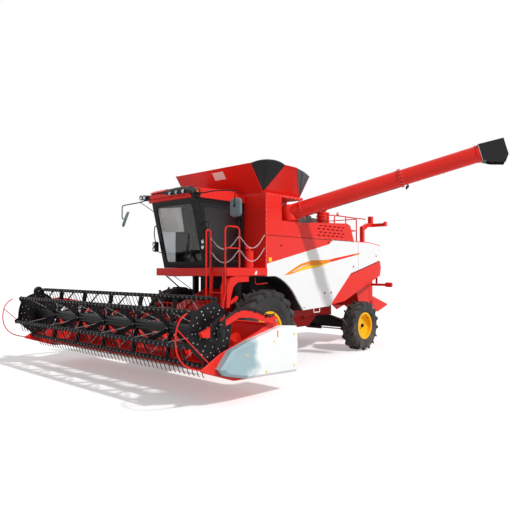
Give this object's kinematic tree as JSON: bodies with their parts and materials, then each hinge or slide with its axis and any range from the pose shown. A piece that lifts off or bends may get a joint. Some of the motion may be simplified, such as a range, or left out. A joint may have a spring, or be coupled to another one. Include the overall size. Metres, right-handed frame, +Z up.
{
  "type": "combine harvester",
  "caption": "Self-propelled combine harvester with a wide grain header and tined reel, glazed cab, open grain tank and a slewing unloading tube.",
  "frame": {"origin": "on the ground, in the middle of the machine's length and width as it stands with the tube swung out", "axes": "+X to the machine's left, +Y to its rear, +Z up"},
  "size_m": [8.018, 9.3219, 4.5503],
  "materials": {
    "black_paint": "satin",
    "chain": "gloss",
    "chrome": "polished",
    "cover_white": "gloss",
    "dark_red": "gloss",
    "glass": "polished",
    "lamp": "gloss",
    "plastic": "matte",
    "red": "gloss",
    "rim_yellow": "gloss",
    "rubber": "matte",
    "seat_cloth": "woven",
    "steel": "satin",
    "tyre": "matte",
    "white_panel": "gloss"
  },
  "bodies": {
    "machine": {"chassis_frame": "dark_red", "front_axle": "dark_red", "rear_axle": "black_paint", "threshing_housing": "dark_red", "grain_tank": "red", "rear_body": "red", "lower_side_panels": "white_panel", "upper_side_panels": "red", "engine_deck": "red", "engine_block": "steel", "cooling_box": "red", "air_intake": "red", "straw_chopper": "red", "front_mudguards": "black_paint", "tank_extension": "red", "tank_corner_skirts": "rubber", "platform": "red", "ladder": "red", "guard_chains": "chain", "fire_extinguisher": "red", "cab_frame": "black_paint", "cab_glass": "glass", "cab_roof": "red", "driver_station": "plastic", "seat": "seat_cloth", "mirrors": "black_paint", "lamps": "lamp", "unloader_supports": "red", "steering_wheel": "plastic"},
    "front_wheel_left": {"tyre_front_left": "tyre", "rim_front_left": "rim_yellow"},
    "front_wheel_right": {"tyre_front_right": "tyre", "rim_front_right": "rim_yellow"},
    "steering_left": {"knuckle_left": "black_paint"},
    "steering_right": {"knuckle_right": "black_paint"},
    "steering_link": {"steering_rod": "chrome"},
    "rear_wheel_left": {"tyre_rear_left": "tyre", "rim_rear_left": "rim_yellow"},
    "rear_wheel_right": {"tyre_rear_right": "tyre", "rim_rear_right": "rim_yellow"},
    "cab_door": {"door_frame": "black_paint", "door_glass": "glass"},
    "unloader": {"unloader_tube": "red", "unloader_spout": "rubber"},
    "header": {"feeder_house": "red", "header_table": "red", "header_ends": "red", "drive_cover": "cover_white", "cutterbar": "steel"},
    "lift_cylinder_barrels": {"lift_barrels": "black_paint"},
    "lift_cylinder_rods": {"lift_rods": "chrome"},
    "auger": {"header_auger": "red"},
    "reel_lift": {"reel_arms": "red"},
    "reel": {"reel_rotor": "black_paint"},
    "tines_1": {"tine_bar_1": "black_paint"},
    "tines_2": {"tine_bar_2": "black_paint"},
    "tines_3": {"tine_bar_3": "black_paint"},
    "tines_4": {"tine_bar_4": "black_paint"},
    "tines_5": {"tine_bar_5": "black_paint"},
    "tines_6": {"tine_bar_6": "black_paint"}
  },
  "joints": [
    {"name": "front_left_spin", "type": "hinge", "parent": "machine", "child": "front_wheel_left", "pos_m": [0.20131, -1.29901, 0.81199], "axis": [1, 0, 0], "continuous": true},
    {"name": "front_right_spin", "type": "hinge", "parent": "machine", "child": "front_wheel_right", "pos_m": [-2.4787, -1.29901, 0.81199], "axis": [1, 0, 0], "continuous": true},
    {"name": "steer_left", "type": "hinge", "parent": "machine", "child": "steering_left", "pos_m": [-0.17869, 2.46699, 0.61199], "axis": [0, 0, 1], "range_deg": [-35, 35]},
    {"name": "steer_right", "type": "hinge", "parent": "machine", "child": "steering_right", "pos_m": [-2.0987, 2.46699, 0.61199], "axis": [0, 0, 1], "range_deg": [-35, 35]},
    {"name": "steering_rod_slide", "type": "slide", "parent": "machine", "child": "steering_link", "axis": [1, 0, 0], "range_m": [-0.11, 0.11]},
    {"name": "rear_left_spin", "type": "hinge", "parent": "steering_left", "child": "rear_wheel_left", "pos_m": [0.16331, 2.46699, 0.61199], "axis": [1, 0, 0], "continuous": true},
    {"name": "rear_right_spin", "type": "hinge", "parent": "steering_right", "child": "rear_wheel_right", "pos_m": [-2.44069, 2.46699, 0.61199], "axis": [1, 0, 0], "continuous": true},
    {"name": "door_swing", "type": "hinge", "parent": "machine", "child": "cab_door", "pos_m": [-0.4387, -1.22901, 2.69999], "axis": [0, 0, 1], "range_deg": [0, 26]},
    {"name": "unloader_slew", "type": "hinge", "parent": "machine", "child": "unloader", "pos_m": [-0.08869, -0.09901, 3.25999], "axis": [-0.2649, -0.0383, 0.9635], "range_deg": [-25, 63]},
    {"name": "header_lift", "type": "hinge", "parent": "machine", "child": "header", "pos_m": [-1.1387, -1.29901, 1.34999], "axis": [1, 0, 0], "range_deg": [-12, 6.5]},
    {"name": "lift_barrel_swing", "type": "hinge", "parent": "machine", "child": "lift_cylinder_barrels", "pos_m": [-1.1387, -1.48901, 0.75999], "axis": [1, 0, 0], "range_deg": [-16, 10]},
    {"name": "lift_rod_slide", "type": "slide", "parent": "lift_cylinder_barrels", "child": "lift_cylinder_rods", "axis": [0, -0.9613, -0.2754], "range_m": [-0.07, 0.13]},
    {"name": "auger_spin", "type": "hinge", "parent": "header", "child": "auger", "pos_m": [-1.1387, -3.01901, 0.71999], "axis": [1, 0, 0], "continuous": true},
    {"name": "reel_raise", "type": "hinge", "parent": "header", "child": "reel_lift", "pos_m": [-1.1387, -2.69901, 1.19999], "axis": [1, 0, 0], "range_deg": [-15, 0]},
    {"name": "reel_spin", "type": "hinge", "parent": "reel_lift", "child": "reel", "pos_m": [-1.1387, -3.95501, 1.11099], "axis": [1, 0, 0], "continuous": true},
    {"name": "tine_bar_1_spin", "type": "hinge", "parent": "reel", "child": "tines_1", "pos_m": [-1.1387, -3.49832, 1.27721], "axis": [1, 0, 0], "continuous": true},
    {"name": "tine_bar_2_spin", "type": "hinge", "parent": "reel", "child": "tines_2", "pos_m": [-1.1387, -3.87061, 1.58961], "axis": [1, 0, 0], "continuous": true},
    {"name": "tine_bar_3_spin", "type": "hinge", "parent": "reel", "child": "tines_3", "pos_m": [-1.1387, -4.3273, 1.42339], "axis": [1, 0, 0], "continuous": true},
    {"name": "tine_bar_4_spin", "type": "hinge", "parent": "reel", "child": "tines_4", "pos_m": [-1.1387, -4.4117, 0.94477], "axis": [1, 0, 0], "continuous": true},
    {"name": "tine_bar_5_spin", "type": "hinge", "parent": "reel", "child": "tines_5", "pos_m": [-1.1387, -4.0394, 0.63238], "axis": [1, 0, 0], "continuous": true},
    {"name": "tine_bar_6_spin", "type": "hinge", "parent": "reel", "child": "tines_6", "pos_m": [-1.1387, -3.58271, 0.7986], "axis": [1, 0, 0], "continuous": true}
  ],
  "couplings": [
    {"joint": "steer_right", "follows": "steer_left", "ratio": 1},
    {"joint": "steering_rod_slide", "follows": "steer_left", "m_per_rad": 0.1632},
    {"joint": "lift_barrel_swing", "follows": "header_lift", "ratio": 1.32},
    {"joint": "lift_rod_slide", "follows": "header_lift", "m_per_rad": -0.532},
    {"joint": "tine_bar_1_spin", "follows": "reel_spin", "ratio": -1},
    {"joint": "tine_bar_2_spin", "follows": "reel_spin", "ratio": -1},
    {"joint": "tine_bar_3_spin", "follows": "reel_spin", "ratio": -1},
    {"joint": "tine_bar_4_spin", "follows": "reel_spin", "ratio": -1},
    {"joint": "tine_bar_5_spin", "follows": "reel_spin", "ratio": -1},
    {"joint": "tine_bar_6_spin", "follows": "reel_spin", "ratio": -1}
  ]
}
